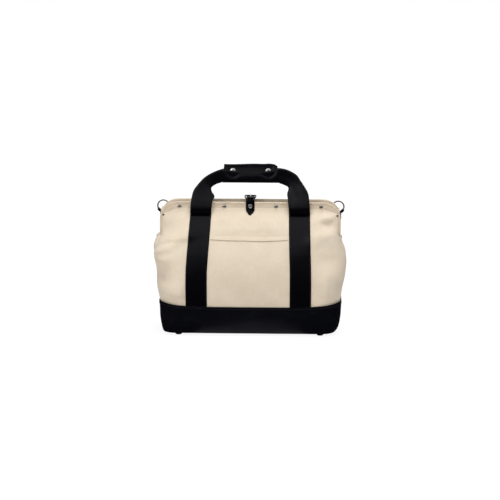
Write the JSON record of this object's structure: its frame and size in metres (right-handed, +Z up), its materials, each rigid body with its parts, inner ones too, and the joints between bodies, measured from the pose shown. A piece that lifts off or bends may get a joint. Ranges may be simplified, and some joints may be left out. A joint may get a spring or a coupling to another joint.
{
  "type": "canvas tool bag",
  "caption": "Wide-mouth canvas tool bag with a hinged steel mouth frame, dark boot, webbing handles, snap-together grip and buckled closing strap.",
  "frame": {"origin": "on the floor under the middle of the bag", "axes": "+X along the bag to the viewer's right, -Y to the front pocket, +Z up"},
  "size_m": [0.464, 0.1768, 0.405],
  "materials": {
    "canvas": "natural cotton duck",
    "webbing": "black ribbed webbing",
    "boot_skin": "near-black, soft sheen",
    "leather": "black, soft sheen",
    "nickel": "bright nickel",
    "dark_steel": "antique dark",
    "steel": "mill",
    "board": "fibreboard",
    "rubber": "black, matt"
  },
  "bodies": {
    "bag_body": {"boot": "boot_skin", "bottom_board": "board", "foot_front_left": "rubber", "foot_front_right": "rubber", "foot_back_left": "rubber", "foot_back_right": "rubber", "front_panel_lower": "canvas", "back_panel_lower": "canvas", "left_gusset_lower": "canvas", "right_gusset_lower": "canvas", "front_pocket": "canvas", "front_left_web_lower": "webbing", "front_right_web_lower": "webbing", "back_left_web_lower": "webbing", "back_right_web_lower": "webbing", "left_hinge_pin": "steel", "right_hinge_pin": "steel", "left_gusset_fold": "canvas", "right_gusset_fold": "canvas"},
    "front_frame": {"front_frame_bar": "steel", "front_panel_upper": "canvas", "front_left_web_upper": "webbing", "front_right_web_upper": "webbing", "front_rim_rivet_1": "nickel", "front_rim_rivet_2": "nickel", "front_rim_rivet_3": "nickel", "front_rim_rivet_4": "nickel", "front_left_corner_rivet": "dark_steel", "front_right_corner_rivet": "dark_steel", "buckle_chape": "leather", "chape_rivet": "nickel"},
    "back_frame": {"back_frame_bar": "steel", "back_panel_upper": "canvas", "back_left_web_upper": "webbing", "back_right_web_upper": "webbing", "back_rim_rivet_1": "nickel", "back_rim_rivet_2": "nickel", "back_rim_rivet_3": "nickel", "back_rim_rivet_4": "nickel", "back_left_corner_rivet": "dark_steel", "back_right_corner_rivet": "dark_steel", "billet_strap": "leather", "billet_rivet": "nickel", "left_ring_clip": "dark_steel", "right_ring_clip": "dark_steel"},
    "front_handle": {"front_handle_web": "webbing", "front_grip": "leather", "left_snap_cap": "nickel", "right_snap_cap": "nickel"},
    "back_handle": {"back_handle_web": "webbing", "back_grip": "leather", "left_snap_stud": "nickel", "right_snap_stud": "nickel"},
    "buckle_loop": {"buckle": "dark_steel"},
    "buckle_tongue": {"buckle_prong": "nickel"},
    "left_corner_ring": {"left_ring": "dark_steel"},
    "right_corner_ring": {"right_ring": "dark_steel"}
  },
  "joints": [
    {"name": "front_frame_swing", "type": "hinge", "parent": "bag_body", "child": "front_frame", "pos_m": [0, 0, 0.23], "axis": [1, 0, 0], "range_deg": [0, 50], "deforming": ["billet_strap", "left_gusset_fold", "right_gusset_fold"]},
    {"name": "back_frame_swing", "type": "hinge", "parent": "bag_body", "child": "back_frame", "pos_m": [0, 0, 0.23], "axis": [-1, 0, 0], "range_deg": [0, 50], "deforming": ["billet_strap", "left_gusset_fold", "right_gusset_fold"]},
    {"name": "front_handle_swing", "type": "hinge", "parent": "front_frame", "child": "front_handle", "pos_m": [0, -0.02836, 0.287], "axis": [-1, 0, 0], "range_deg": [-125, 0]},
    {"name": "back_handle_swing", "type": "hinge", "parent": "back_frame", "child": "back_handle", "pos_m": [0, 0.02836, 0.287], "axis": [1, 0, 0], "range_deg": [-125, 0]},
    {"name": "buckle_swing", "type": "hinge", "parent": "front_frame", "child": "buckle_loop", "pos_m": [0, -0.014, 0.321], "axis": [1, 0, 0], "range_deg": [0, 70], "deforming": ["billet_strap"]},
    {"name": "prong_lift", "type": "hinge", "parent": "buckle_loop", "child": "buckle_tongue", "pos_m": [0, -0.014, 0.321], "axis": [-1, 0, 0], "range_deg": [-35, 0], "deforming": ["billet_strap"]},
    {"name": "left_ring_swing", "type": "hinge", "parent": "back_frame", "child": "left_corner_ring", "pos_m": [-0.21848, 0.0232, 0.28782], "axis": [0.8829, 0, -0.4695], "range_deg": [-110, 0]},
    {"name": "right_ring_swing", "type": "hinge", "parent": "back_frame", "child": "right_corner_ring", "pos_m": [0.21848, 0.0232, 0.28782], "axis": [0.8829, 0, 0.4695], "range_deg": [-110, 0]}
  ]
}
